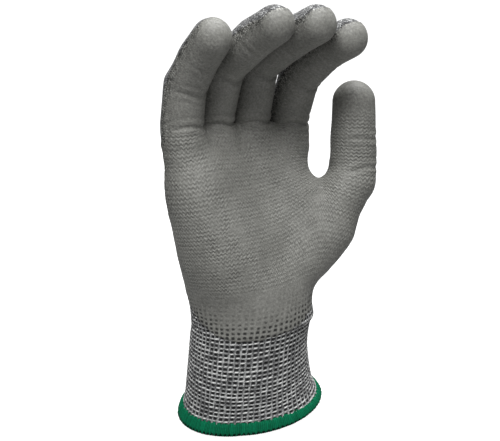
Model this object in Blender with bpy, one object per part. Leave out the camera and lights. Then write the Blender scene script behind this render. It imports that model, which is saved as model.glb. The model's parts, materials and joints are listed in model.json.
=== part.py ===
"""Cut resistant glove, right hand: knitted liner, polyurethane palm film, elastic cuff and overlocked hem.

The glove keeps the shape it has on a half-closed hand. The origin is the centre of the cuff's opening,
+Z runs up to the fingertips, the palm faces -Y and the thumb is on the +X side. The knitted shell folds
at fifteen places: three on each finger, two on the thumb and one at the wrist. Each stretch between two
folds is its own tube, with ends cut back along a V whose corner is the fold's axis, so that the tubes
can turn without touching.
"""

import math

import bpy
import numpy as np

# ---- driving dimensions: millimetres and degrees ----
MM = 0.001
CUFF_HEIGHT = 52.0  # hem to the wrist's fold
WRIST_RADII = (34.5, 28.5)  # half breadth and half depth of the cuff at the wrist
CUFF_RADII = (35.5, 29.5)  # the same where the cuff is straight
HEM_RADII = (39.5, 31.5)  # the same at the flared hem
FLARE_HEIGHT = 14.0
FLARE_STRETCH = 1.18  # a wall across the flare's slope is this much thicker than the fabric
LEAN_BACK = 16.0  # the hand tips back from the cuff's axis

FINGER_PITCH = 21.36
FINGER_SHIFT = 0.8  # the row of fingers sits a little towards the thumb
# base: depth and height of the finger's first fold in the hand's frame
# reach: fold to fold, the last one to the tip's centre
FINGERS = {
    "little": {"base": (-0.9, 104.9), "reach": (20.3, 18.2, 14.2), "bend": (18, 27, 7), "radius": 10.1},
    "ring": {"base": (1.9, 104.8), "reach": (29.0, 27.7, 14.9), "bend": (28, 37, 8), "radius": 10.4},
    "middle": {"base": (-1.9, 102.9), "reach": (30.2, 27.9, 18.0), "bend": (23, 46, 6), "radius": 10.4},
    "index": {"base": (-7.4, 99.8), "reach": (25.6, 23.0, 16.4), "bend": (30, 31, 14), "radius": 10.4},
}
MOST_BEND = (55, 80, 36)  # each fold closes to this from straight
TIP_TAPER = 0.88  # fingertip radius over base radius
DOME_LIFTS = (32, 60)  # rings over a fingertip, in degrees from its foot
CROTCH_DROP = 6.5  # crotches lie this far below the finger's first fold
METACARPAL = {"spread": 0.55, "foot": (-3.2, 13.0), "head": (0.5, -6.0), "radii": (19.0, 13.2)}
HYPOTHENAR = ((-22.0, -6.2, 23.0), (-30.2, -0.9, 69.0), 17.0, 14.5)  # little finger's side: ends, radii
PALM_BLEND = 12.0  # width of the soft joins between the palm's pads
STALL_BLEND = 5.0  # the same where a finger or the thumb grows out
# the palm at the height of the thumb's crotch: its centre across and in depth, half breadth, half depth
PALM_SECTION = (2.0, -5.0, 41.5, 14.0)
PALM_SPREAD = 4.0  # front and back of the net stand this far apart under the crotches

THUMB = {"base": (-31.4, 71.5), "reach": (16.0, 16.0), "bend": (8, 0), "radius": 12.0}
THUMB_ACROSS = 55.8  # the thumb stands clear of the index finger's path
THUMB_ROOT = (27.0, -15.5, 26.2)
THUMB_ROOT_RADIUS = 17.7
THUMB_SWELL = 1.3  # the thumb's base is this much thicker than its stall
THUMB_SEAT = (1.0, 0.0, 4.0)  # the root's pad ends this far inside the thumb's first fold
THUMB_WEB = ((29.9, -10.4, 63.8), 15.0, 14.0)  # top of the web's pad, and the pad's radii
THUMB_CROTCH = (46.4, -12.3, 66.0)
THUMB_RANGES = ((-20, 25), (-12, 32))
WRIST_RECESS = (-14, 14)  # the edges at the wrist are cut back for two degrees more than its range each way

FILM_FACING = {"finger": 270, "thumb": 231}  # the way the film's middle faces, in degrees from +X
FILM_WRAP = 120  # the film reaches this far round a stall on each side of its middle
WRIST_EASE = 20.0  # the palm's padding starts over this height
WRIST_SPANS = (180, 300, 370, 540)  # round the wrist: front, thumb and back, in degrees from +X
WRIST_SPREAD = 3.0  # the net's rows part by this much beside the thumb
STRAIGHT_HEIGHT = 30.0  # a row of the cuff's net

KNIT = 0.9  # thickness of the knitted fabric
FILM = 0.45  # thickness of the coating
GAP = 0.3  # between two pieces that touch
WEB_GAP = 0.6  # under the palm film, which bends sharply through the webs
HEM_REACH = 6.0  # height of the green binding
HEM_THICKNESS = 1.3
ELASTIC_TURNS = 5
ELASTIC_RADIUS = 0.45
ELASTIC_SPAN = (12.0, 36.0)  # heights of its two ends
ELASTIC_STEPS = 28  # straight stretches in a turn

COLUMNS = 6  # mesh columns on each half of a finger
THUMB_COLUMNS = 7
THUMB_FILM = 9  # columns of the thumb's stump under the film
PALM_ROWS = 5  # crotches of the fingers to the thumb's crotch
HEEL_ROWS = 8  # thumb's crotch to the wrist
RELAX_ROUNDS = 60
SHARP_EDGE = 50  # degrees

COLOURS = {
    "knit": (0.30, 0.31, 0.31),
    "film": (0.20, 0.20, 0.185),
    "hem": (0.0, 0.17, 0.065),
    "elastic": (0.75, 0.75, 0.72),
}


# ---- frames and folds ----
def turn_x(degrees):
    """Rotation about X; a positive turn carries +Z towards -Y, the way the fingers close."""
    c, s = math.cos(math.radians(degrees)), math.sin(math.radians(degrees))
    return np.array([[1, 0, 0], [0, c, -s], [0, s, c]])


WRIST = np.array([0.0, 0.0, CUFF_HEIGHT])
HAND = turn_x(-LEAN_BACK)


def to_world(points):
    """Points of the hand's frame, whose origin is the wrist's fold, in the glove's frame."""
    return np.asarray(points, float) @ HAND.T + WRIST


def fold_recess(depth, bend, limits):
    """How far a tube's end stands back from its fold, at a depth in front of the fold's axis."""
    front = math.tan(math.radians((bend + limits[1]) / 2))
    back = math.tan(math.radians((bend + limits[0]) / 2))
    return np.where(depth > 0, depth * front, depth * back) + GAP


def digit(name):
    """A finger's or the thumb's folds, directions and limits, in the hand's frame."""
    if name == "thumb":
        spec, across, limits = THUMB, THUMB_ACROSS, THUMB_RANGES
    else:
        spec = FINGERS[name]
        across = FINGER_SHIFT + (list(FINGERS).index(name) - 1.5) * FINGER_PITCH
        limits = [(-bend, most - bend) for bend, most in zip(spec["bend"], MOST_BEND)]
    folds = [np.array([across, *spec["base"]])]
    angles = []
    for reach, bend in zip(spec["reach"], spec["bend"]):
        angles.append((angles[-1] if angles else 0) + bend)
        folds.append(folds[-1] + reach * turn_x(angles[-1])[:, 2])
    return {"folds": folds, "angles": angles, "limits": limits, **spec}


# ---- the hand's outer shape, as distances to rounded bones ----
def bone_distance(points, start, end, start_radius, end_radius):
    start, end = np.asarray(start, float), np.asarray(end, float)
    along = end - start
    t = np.clip((points - start) @ along / (along @ along), 0, 1)
    middle = start + t[:, None] * along
    return np.linalg.norm(points - middle, axis=1) - (start_radius + t * (end_radius - start_radius))


def soft_min(a, b, reach):
    h = np.maximum(reach - np.abs(a - b), 0) / reach
    return np.minimum(a, b) - h * h * reach / 4


def palm_bones():
    """The palm's padding: four metacarpals, the heel of the hand, the thumb's root and its web."""
    bones = []
    for name in FINGERS:
        fold = digit(name)["folds"][0]
        foot = (METACARPAL["spread"] * fold[0], *METACARPAL["foot"])
        bones.append((foot, fold + [0, *METACARPAL["head"]], *METACARPAL["radii"]))
    bones.append(HYPOTHENAR)
    seat = digit("thumb")["folds"][0] - THUMB_SEAT
    bones.append((THUMB_ROOT, seat, THUMB_ROOT_RADIUS, THUMB["radius"] + THUMB_SWELL))
    bones.append((THUMB_ROOT, *THUMB_WEB))
    return bones


def palm_distance(points):
    """Signed distance to the palm, with the fingers' and thumb's stumps."""
    distance = None
    for bone in palm_bones():
        d = bone_distance(points, *bone)
        distance = d if distance is None else soft_min(distance, d, PALM_BLEND)
    for name in [*FINGERS, "thumb"]:
        stall = digit(name)
        start = stall["folds"][0] - [0, 0, CROTCH_DROP]
        d = bone_distance(points, start, stall["folds"][1], stall["radius"], stall["radius"])
        distance = soft_min(distance, d, STALL_BLEND)
    return distance


def to_surface(points):
    """Move points along the distance's gradient onto the palm's surface."""
    step = 0.05
    slopes = []
    for axis in np.eye(3):
        slopes.append(palm_distance(points + step * axis) - palm_distance(points - step * axis))
    gradient = np.stack(slopes, axis=1) / (2 * step)
    gradient /= np.maximum(np.linalg.norm(gradient, axis=1, keepdims=True), 0.3)
    return points - gradient * palm_distance(points)[:, None]


# ---- pieces ----
def material(name, roughness):
    made = bpy.data.materials.new(name)
    made.use_nodes = True
    shader = made.node_tree.nodes["Principled BSDF"]
    shader.inputs["Base Color"].default_value = (*COLOURS[name], 1)
    shader.inputs["Roughness"].default_value = roughness
    shader.inputs["Metallic"].default_value = 0
    return made


def add_fold(name, place, parent=None):
    """An empty on a fold's axis, which carries the pieces beyond that fold."""
    empty = bpy.data.objects.new(name, None)
    bpy.context.scene.collection.objects.link(empty)
    if parent:
        empty.parent = parent["empty"]
        empty.location = (place - parent["place"]) * MM
    else:
        empty.location = place * MM
    return {"empty": empty, "place": place}


def outward(points, faces):
    """Unit normals of a sheet's points."""
    normals = np.zeros_like(points)
    for face in faces:
        corners = points[list(face)]
        normal = np.cross(corners[2] - corners[0], corners[-1] - corners[1])
        normals[list(face)] += normal
    return normals / np.maximum(np.linalg.norm(normals, axis=1, keepdims=True), 1e-9)


def link(name, data, surface, fold):
    data.materials.append(surface)
    piece = bpy.data.objects.new(name, data)
    bpy.context.scene.collection.objects.link(piece)
    piece.parent = fold["empty"]
    return piece


def add_sheet(name, points, faces, inset, thickness, surface, fold, whole=None):
    """A closed shell between two depths under a surface; whole is the net that the faces are part of."""
    normals = outward(points, whole or faces)
    used = sorted({corner for face in faces for corner in face})
    place = {corner: number for number, corner in enumerate(used)}
    shell = [tuple(place[corner] for corner in face) for face in faces]
    edges = {(face[i - 1], face[i]) for face in shell for i in range(len(face))}
    rim = sorted((a, b) for a, b in edges if (b, a) not in edges)
    count = len(used)
    shell += [tuple(corner + count for corner in reversed(face)) for face in shell]
    shell += [(b, a, a + count, b + count) for a, b in rim]
    depths = (inset, inset + thickness)
    layers = np.concatenate([points[used] - depth * normals[used] for depth in depths])
    mesh = bpy.data.meshes.new(name)
    mesh.from_pydata([tuple(p) for p in (layers - fold["place"]) * MM], [], shell)
    mesh.shade_smooth()
    mesh.set_sharp_from_angle(angle=math.radians(SHARP_EDGE))
    return link(name, mesh, surface, fold)


# ---- stalls: the finger and thumb tubes ----
def net_faces(rows, columns, closed):
    faces = []
    for row in range(rows - 1):
        for column in range(columns if closed else columns - 1):
            a = row * columns + column
            b = row * columns + (column + 1) % columns
            faces.append((a, b, b + columns, a + columns))
    return faces


def stall_sheet(stall, part, angles, closed):
    """Rows of points from one fold to the next, or over the dome of the tip."""
    last = part == len(stall["angles"]) - 1
    length = stall["reach"][part]
    taper = 1 - (1 - TIP_TAPER) / len(stall["angles"])
    low_radius = stall["radius"] * taper**part
    high_radius = low_radius * taper
    ring = np.stack([np.cos(angles), np.sin(angles)], axis=1)
    depth = -ring[:, 1]
    low = fold_recess(depth * low_radius, stall["bend"][part], stall["limits"][part])
    high = np.full_like(low, length)
    if not last:
        high -= fold_recess(depth * high_radius, stall["bend"][part + 1], stall["limits"][part + 1])
    rows = []
    for share in (0, 0.5, 1):
        radius = low_radius + (high_radius - low_radius) * share
        rows.append(np.column_stack([ring * radius, low + (high - low) * share]))
    if last:
        for lift in DOME_LIFTS:
            c, s = math.cos(math.radians(lift)), math.sin(math.radians(lift))
            rows.append(np.column_stack([ring * high_radius * c, high + high_radius * s]))
    faces = net_faces(len(rows), len(angles), closed)
    points = np.concatenate(rows)
    if last:
        points = np.vstack([points, [0, 0, length + high_radius]])
        edge = len(points) - 1 - len(angles)
        for column in range(len(angles) if closed else len(angles) - 1):
            faces.append((edge + column, edge + (column + 1) % len(angles), len(points) - 1))
    frame = turn_x(stall["angles"][part])
    return to_world(points @ frame.T + stall["folds"][part]), faces


def add_stall(name, hand_fold, knit, film):
    """One finger's or the thumb's knitted tubes and their film, each hung on its fold."""
    stall = digit(name)
    columns = 2 * (THUMB_COLUMNS if name == "thumb" else COLUMNS)
    parts = ("proximal", "middle", "tip") if name != "thumb" else ("base", "tip")
    step = 2 * math.pi / columns
    around = np.arange(columns) * step
    facing = FILM_FACING["thumb" if name == "thumb" else "finger"]
    first = round((facing - FILM_WRAP) / math.degrees(step))
    last = round((facing + FILM_WRAP) / math.degrees(step))
    covered = np.arange(first, last + 1) * step
    fold = hand_fold
    for part, part_name in enumerate(parts):
        fold = add_fold(f"fold_{name}_{part_name}", to_world(stall["folds"][part]), fold)
        points, faces = stall_sheet(stall, part, around, True)
        add_sheet(f"{name}_{part_name}_knit", points, faces, FILM + GAP, KNIT, knit, fold)
        points, faces = stall_sheet(stall, part, covered, False)
        add_sheet(f"{name}_{part_name}_coating", points, faces, 0, FILM, film, fold)


# ---- palm: one net of points with five stumps at its top and the wrist at its foot ----
class PalmNet:
    """Points and four-sided faces of the palm's outer surface, in the hand's frame."""

    def __init__(self):
        self.points = []
        self.fixed = []
        self.faces = []
        self.film = []

    def add(self, position, fixed=False):
        self.points.append(np.array(position, float))
        self.fixed.append(fixed)
        return len(self.points) - 1

    def band(self, upper, lower, covered):
        """Faces between two rings of the same length; covered holds the columns that carry film."""
        count = len(upper)
        for column in range(count):
            beside = (column + 1) % count
            self.faces.append((lower[column], lower[beside], upper[beside], upper[column]))
            self.film.append(column in covered)


def stump_ring(stall, columns, offset):
    """The ring where a stall's first fold begins, and the ring of its foot."""
    angles = math.pi * (1 + np.arange(2 * columns) / columns) - offset
    ring = np.stack([np.cos(angles), np.sin(angles)], axis=1) * stall["radius"]
    top = -fold_recess(-ring[:, 1], stall["bend"][0], stall["limits"][0])
    centre = stall["folds"][0]
    rim = np.column_stack([ring, top]) + centre
    foot = np.column_stack([ring, np.full(2 * columns, -CROTCH_DROP)]) + centre
    return rim, foot


def wrist_point(angle):
    x, y = WRIST_RADII[0] * math.cos(angle), WRIST_RADII[1] * math.sin(angle)
    return np.array([x, y, float(fold_recess(np.array(-y), -LEAN_BACK, WRIST_RECESS))])


def section_point(share):
    """A point round the palm beside the thumb's crotch; share 0 and 1 are the little finger's edge."""
    across, depth, breadth, thick = PALM_SECTION
    angle = math.pi * (1 + 2 * share)
    return np.array([across + breadth * math.cos(angle), depth + thick * math.sin(angle), THUMB_CROTCH[2]])


def add_finger_stumps(net):
    """The stumps of the four fingers; returns the ring of their feet, which share a point in each crotch."""
    stalls = [digit(name) for name in FINGERS]
    covered = {*range(COLUMNS + 1), 2 * COLUMNS - 1}
    feet = []
    for number, stall in enumerate(stalls):
        rim, foot = stump_ring(stall, COLUMNS, 0)
        rim = [net.add(p, True) for p in rim]
        ids = []
        for column, place in enumerate(foot):
            if column == 0 and number > 0:
                ids.append(feet[-1][COLUMNS])
            elif column == COLUMNS and number < len(stalls) - 1:
                beside = stalls[number + 1]["folds"][0]
                ids.append(net.add((stall["folds"][0] + beside) / 2 - [0, 0, CROTCH_DROP], True))
            else:
                ids.append(net.add(place))
        feet.append(ids)
        net.band(rim, ids, covered)
    ring = [i for foot in feet for i in foot[:COLUMNS]] + [feet[-1][COLUMNS]]
    for foot in reversed(feet):
        ring += foot[COLUMNS + 1 :] + ([foot[0]] if foot is not feet[0] else [])
    return ring


def add_thumb_stump(net):
    """The thumb's stump; returns its foot, whose first point is the thumb's crotch."""
    shift = 2 * math.pi / THUMB_COLUMNS
    rim, foot = stump_ring(digit("thumb"), THUMB_COLUMNS, shift)
    rim = [net.add(p, True) for p in rim]
    ids = [net.add(THUMB_CROTCH, True)] + [net.add(p) for p in foot[1:]]
    net.band(rim, ids, {*range(THUMB_FILM), 2 * THUMB_COLUMNS - 1})
    return ids


def add_palm_rows(net, top, crotch):
    """From the fingers' feet down to the thumb's crotch; returns the lowest ring."""
    loop = len(top)
    half = loop // 2
    front = {*range(half + 1), loop - 1}
    crotches = {column for column in range(loop) if column % COLUMNS in (0, COLUMNS - 1)}
    above = top
    for row in range(1, PALM_ROWS + 1):
        share = row / PALM_ROWS
        ring = []
        for column, start in enumerate(top):
            if row == PALM_ROWS and column == half:
                ring.append(crotch)
                continue
            place = net.points[start].copy()
            if column not in (0, half):
                place[1] += -PALM_SPREAD if column < half else PALM_SPREAD
            ring.append(net.add(place + share * (section_point(column / loop) - place)))
        net.band(above, ring, front | crotches if row == 1 else front)
        above = ring
    return above


def wrist_ring(half, extra):
    """The oval at the wrist's fold: half columns for the front, extra for the thumb and half for the back."""
    counts = (half, extra, half)
    ring = []
    for count, start, end in zip(counts, WRIST_SPANS[:-1], WRIST_SPANS[1:]):
        ring += [wrist_point(math.radians(start + (end - start) * i / count)) for i in range(count)]
    return ring


def add_heel_rows(net, above, half):
    """The heel of the hand, from the thumb's crotch and foot down to the wrist's fold."""
    extra = 2 * THUMB_COLUMNS
    count = len(above)
    front = {*range(half + THUMB_FILM), count - 1}
    crotch = {half + extra - 1, half + extra}
    wrist = wrist_ring(half, extra)
    start = [net.points[i].copy() for i in above]
    for row in range(1, HEEL_ROWS + 1):
        share = row / HEEL_ROWS
        last = row == HEEL_ROWS
        ring = [net.add(a + share * (b - a), last) for a, b in zip(start, wrist)]
        if not last:
            net.points[ring[half]] += [0, -WRIST_SPREAD, 0]
            net.points[ring[half + extra]] += [0, WRIST_SPREAD, 0]
        covered = front | crotch if row == 1 else front
        net.band(above, ring, covered if not last else set())
        above = ring


def palm_net():
    net = PalmNet()
    top = add_finger_stumps(net)
    thumb_foot = add_thumb_stump(net)
    above = add_palm_rows(net, top, thumb_foot[0])
    half = len(top) // 2
    add_heel_rows(net, above[: half + 1] + thumb_foot[1:] + above[half:], half)
    return net


def relax(net):
    """Even out the net's spacing while it stays on the palm's surface; it eases into the wrist's oval."""
    points = np.array(net.points)
    loose = ~np.array(net.fixed)
    pairs = np.array(sorted({tuple(sorted((f[i], f[(i + 1) % 4]))) for f in net.faces for i in range(4)}))
    degree = np.bincount(pairs.ravel(), minlength=len(points))[:, None]
    for _ in range(RELAX_ROUNDS):
        total = np.zeros_like(points)
        np.add.at(total, pairs[:, 0], points[pairs[:, 1]])
        np.add.at(total, pairs[:, 1], points[pairs[:, 0]])
        moved = points + 0.5 * (total / degree - points)
        grip = np.clip(moved[:, 2:3] / WRIST_EASE, 0, 1)
        moved = moved + (to_surface(moved) - moved) * grip**2
        points[loose] = moved[loose]
    return points


def split(faces):
    """Each face as two triangles on the same diagonal, so that the film lies evenly on the knit."""
    return [corners for a, b, c, d in faces for corners in ((a, b, c), (a, c, d))]


def add_palm(fold, knit, film):
    net = palm_net()
    points = to_world(relax(net))
    whole = split(net.faces)
    covered = split([face for face, on in zip(net.faces, net.film) if on])
    add_sheet("palm_knit", points, whole, FILM + WEB_GAP, KNIT, knit, fold)
    add_sheet("palm_coating", points, covered, 0, FILM, film, fold, whole)


# ---- cuff ----
def cuff_radii(height):
    """Half breadth and half depth of the cuff's outer face at a height."""
    flare = max(0.0, 1 - height / FLARE_HEIGHT) ** 2
    rise = max(0.0, (height - FLARE_HEIGHT) / (CUFF_HEIGHT - FLARE_HEIGHT))
    radii = []
    for hem, tube, wrist in zip(HEM_RADII, CUFF_RADII, WRIST_RADII):
        radii.append(tube + (hem - tube) * flare + (wrist - tube) * rise)
    return radii


def add_cuff(knit, hem, fold):
    """The cuff's knitted tube and the green binding round its lower edge."""
    count = 8 * COLUMNS + 2 * THUMB_COLUMNS
    angles = np.arange(count) * 2 * math.pi / count
    foot = HEM_THICKNESS + 3 * GAP  # the flared knit's inner edge hangs a little lower
    rows = []
    heights = (foot, HEM_REACH, FLARE_HEIGHT, STRAIGHT_HEIGHT, CUFF_HEIGHT)
    for height in heights:
        a, b = cuff_radii(height)
        x, y = a * np.cos(angles), b * np.sin(angles)
        z = np.full(count, height)
        if height == CUFF_HEIGHT:
            z = z - fold_recess(-y, -LEAN_BACK, WRIST_RECESS)
        rows.append(np.column_stack([x, y, z]))
    faces = net_faces(len(rows), count, True)
    add_sheet("cuff_knit", np.concatenate(rows), faces, FILM + GAP, KNIT, knit, fold)

    # green binding: a trough that holds the knit's lower edge
    clear = -FILM
    inner = -FLARE_STRETCH * (FILM + GAP + KNIT) - GAP
    outer = clear + HEM_THICKNESS
    profile = [(outer, 0), (outer, HEM_REACH), (clear, HEM_REACH), (clear, HEM_THICKNESS),
               (inner, HEM_THICKNESS), (inner, HEM_REACH),
               (inner - HEM_THICKNESS, HEM_REACH), (inner - HEM_THICKNESS, 0)]
    rows = []
    for offset, height in profile:
        a, b = cuff_radii(height)
        rows.append(np.column_stack([(a + offset) * np.cos(angles), (b + offset) * np.sin(angles),
                                     np.full(count, float(height))]))
    faces = net_faces(len(rows), count, True)
    last = (len(rows) - 1) * count
    faces += [(last + c, last + (c + 1) % count, (c + 1) % count, c) for c in range(count)]
    mesh = bpy.data.meshes.new("hem_overlock")
    mesh.from_pydata([tuple(p) for p in np.concatenate(rows) * MM], [], faces)
    link("hem_overlock", mesh, hem, fold)


def add_elastic(elastic, fold):
    """Elastic yarn wound against the inside of the cuff."""
    count = ELASTIC_TURNS * ELASTIC_STEPS
    low, high = ELASTIC_SPAN
    curve = bpy.data.curves.new("cuff_elastic", "CURVE")
    curve.dimensions = "3D"
    curve.bevel_depth = ELASTIC_RADIUS * MM
    curve.bevel_resolution = 1
    curve.use_fill_caps = True
    spline = curve.splines.new("POLY")
    spline.points.add(count)
    back = FILM + GAP + KNIT + GAP + ELASTIC_RADIUS
    for number, point in enumerate(spline.points):
        turn = 2 * math.pi * number / ELASTIC_STEPS
        height = low + (high - low) * number / count
        a, b = cuff_radii(height)
        point.co = ((a - back) * math.cos(turn) * MM, (b - back) * math.sin(turn) * MM, height * MM, 1)
    link("cuff_elastic", curve, elastic, fold)


def main():
    for thing in list(bpy.data.objects):
        bpy.data.objects.remove(thing)
    knit, film = material("knit", 0.85), material("film", 0.6)
    hem, elastic = material("hem", 0.8), material("elastic", 0.7)
    cuff = add_fold("cuff", np.zeros(3))
    add_cuff(knit, hem, cuff)
    add_elastic(elastic, cuff)
    hand = add_fold("fold_wrist", WRIST, cuff)
    add_palm(hand, knit, film)
    for name in [*FINGERS, "thumb"]:
        add_stall(name, hand, knit, film)


main()
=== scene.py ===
"""Cut resistant glove: marled knit shell, grey polyurethane film on the palm, green overlocked hem.

The glove's skin is one four-sided net of wales and courses from the hem to the fingertips, drawn onto
the shape of a half-closed hand, then divided three times. It is cut into pieces between the folds;
the pieces keep their resting shape. Lengths are millimetres in the hand's frame, except that lights
and meshes are in metres.
"""

import json
import math

import bpy
import numpy as np
from mathutils import Matrix, Vector, noise


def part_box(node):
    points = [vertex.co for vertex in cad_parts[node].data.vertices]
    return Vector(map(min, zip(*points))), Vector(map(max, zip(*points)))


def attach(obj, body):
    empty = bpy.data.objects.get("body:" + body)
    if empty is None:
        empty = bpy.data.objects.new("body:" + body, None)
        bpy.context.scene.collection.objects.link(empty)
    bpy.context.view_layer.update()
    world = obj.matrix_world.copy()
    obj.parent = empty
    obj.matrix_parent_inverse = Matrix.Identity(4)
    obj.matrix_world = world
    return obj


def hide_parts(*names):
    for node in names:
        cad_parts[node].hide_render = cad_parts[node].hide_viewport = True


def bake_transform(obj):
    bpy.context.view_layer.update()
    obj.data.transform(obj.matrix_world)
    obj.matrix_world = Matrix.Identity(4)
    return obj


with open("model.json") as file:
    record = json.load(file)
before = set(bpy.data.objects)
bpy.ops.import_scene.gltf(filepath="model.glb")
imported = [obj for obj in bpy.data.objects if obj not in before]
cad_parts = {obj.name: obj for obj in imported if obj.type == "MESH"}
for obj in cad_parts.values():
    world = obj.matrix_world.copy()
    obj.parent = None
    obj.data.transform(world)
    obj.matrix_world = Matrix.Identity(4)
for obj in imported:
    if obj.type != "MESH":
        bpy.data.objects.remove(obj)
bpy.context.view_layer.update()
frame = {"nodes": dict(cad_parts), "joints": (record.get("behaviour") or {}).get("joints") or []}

MM = 0.001
LEAN_BACK = 16.0  # the hand tips back from the cuff's axis
WRIST_RADII = (34.5, 28.5)
CUFF_RADII = (35.5, 29.5)
HEM_RADII = (39.5, 31.5)
FLARE_HEIGHT = 14.0
THUMBWARD = math.radians(-40)
HEM_SLANT = 0.105
FLOOR = -1.9
CROTCH_DROP = 6.5
TIP_TAPER = 0.88
THUMB_ROOT = (29.6, -16.6, 24.6)
THUMB_CROTCH = (46.4, -12.3, 62.0)
THUMB_KNUCKLE = (-5.2, 1.2, -5.0)

COLUMNS = 6  # net columns on each half of a finger, before the net is divided
THUMB_COLUMNS = 7
HALF = 4 * COLUMNS
LOOP = 2 * HALF
RING = LOOP + 2 * THUMB_COLUMNS
PALM_ROWS = 7
HEEL_ROWS = 14
CUFF_ROWS = 20
ROW_STEP = 5.4
HEEL_FILM = (14.5, 18.8, RING, 4.2)
HEM_EDGE = 2.0  # the knit ends inside the hem
HEEL_RISE = (54.0, 92.0)  # the wrist's oval gives way to the hand between these heights
DIVISIONS = 3
BONES = 16  # straight stretches that stand for a bent digit
CORNER = 5.0  # a digit's line is rounded over this length at its folds

CELLS_AROUND = 68  # stitch heads round the cuff
CELL_HEIGHT = 2.3
RIB_TOP = 74.0  # the elastic stitches end at this height
RIPPLE = 2.0  # courses of the palm, as they show through the film
BEND_REACH = 10.0  # the reach past a piece's fold from which bend_piece works out a bend's end; nothing is bent by it
WRIST_REACH = 19.0

FINGERS = ("little", "ring", "middle", "index")
DIGITS = (*FINGERS, "thumb")
FAR = 60.0
NEAR = 12.0  # a digit held further off than this doesn't reach the point

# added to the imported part's radii and lines, to follow the worn glove more closely
PLUMP = {"little": 0.6, "ring": 0.1, "middle": 0.15, "index": 0.45, "thumb": 0.2}
BASE_SHIFT = {"little": (-0.9, 0, 0), "index": (0.2, 0, 0), "thumb": (-0.8, 0, 0)}
TIP_SHIFT = {"little": (0, 0, -1.6), "ring": (0, 0, 0.6), "thumb": (0, 0, 2.0)}
ROOT_SHIFT = {"thumb": (-2.6, 0.3, 0)}
ROOT_THINNER = 1.5  # a digit's line starts this much thinner, inside the palm
FINGER_LOWER = (0, 0, -6)  # from a finger's foot to the start of its line
THUMB_LOWER = (-3.1, 1.7, -4.9)  # the thumb's line turns towards its root

METACARPAL_SHIFT = {"little": 1.0, "index": -1.8}
HYPOTHENAR = ((-17.6, -6.2, 23.0), (-26.2, -0.9, 69.0), 15.8, 12.6, 18.0)  # ends, radii, blend
THUMB_WEB = ((27.9, -10.6, 58.4), 15.0, 12.4, 10.0)  # top end, radii, blend

CROTCH_RISE = 98.0  # along the glove, from the wrist's fold to the fingers' crotches
THUMB_RISE = 66.0  # the same to the thumb's crotch
WRIST_FOOT, WRIST_TOP = 32.0, 18.0  # the wrist's piece: from this place to this far over the fold
FINGER_FILM = (COLUMNS / 2, COLUMNS / 2 + 1.0, 2 * COLUMNS, 5.4)
PALM_FILM = (HALF / 2 - 0.6, HALF / 2 + 1.8, LOOP, 4.4)
THUMB_FILM = (231, 120, 0.21)  # the film's middle and reach in degrees, and a degree's width
THUMB_TURN = 4 * math.pi / (2 * THUMB_COLUMNS)  # the thumb's first column faces the index finger
FIRST_ROUNDS = 50
ROUNDS = ((12, True), (6, False), (3, False))  # after each division, and whether by the gradient
BEND_MARGIN = 0.7  # a bend's end is kept this far short of rows that two pieces share; nothing is bent by it

CAMERA_AZIMUTH, CAMERA_ELEVATION, CAMERA_ROLL = -43.99, 19.875, 4.42
CAMERA_TARGET = (-7.65, 0.0, 107.7)
CAMERA_DISTANCE = 531.1
CAMERA_LENS = 76.33


def turn_x(degrees):
    c, s = math.cos(math.radians(degrees)), math.sin(math.radians(degrees))
    return np.array([[1, 0, 0], [0, c, -s], [0, s, c]])


HAND = turn_x(-LEAN_BACK)
PIVOTS = {joint["name"]: np.array(joint["pos_m"]) / MM for joint in frame["joints"]}
WRIST = PIVOTS["wrist_fold"]


def to_world(points):
    return np.asarray(points, float) @ HAND.T + WRIST


def to_hand(points):
    return (np.asarray(points, float) - WRIST) @ HAND


# ---- skeleton ----
def smooth_path(path, count, corner=9.0):
    """Evenly spaced points and directions along a path whose corners are rounded."""
    lengths = np.concatenate([[0], np.cumsum(np.linalg.norm(np.diff(path, axis=0), axis=1))])
    fine = np.linspace(0, lengths[-1], 400)
    dense = np.stack([np.interp(fine, lengths, path[:, k]) for k in range(3)], axis=1)
    width = int(corner / (fine[1] - fine[0]))
    before = 2 * dense[0] - dense[width:0:-1]
    after = 2 * dense[-1] - dense[-2 : -width - 2 : -1]
    padded = np.concatenate([before, dense, after])
    kernel = np.hanning(2 * width + 1)
    kernel /= kernel.sum()
    dense = np.stack([np.convolve(padded[:, k], kernel, "valid") for k in range(3)], axis=1)
    travelled = np.concatenate([[0], np.cumsum(np.linalg.norm(np.diff(dense, axis=0), axis=1))])
    at = np.linspace(0, travelled[-1], count)
    centres = np.stack([np.interp(at, travelled, dense[:, k]) for k in range(3)], axis=1)
    tangents = np.gradient(centres, axis=0)
    tangents /= np.linalg.norm(tangents, axis=1, keepdims=True)
    return centres, tangents, at


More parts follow.
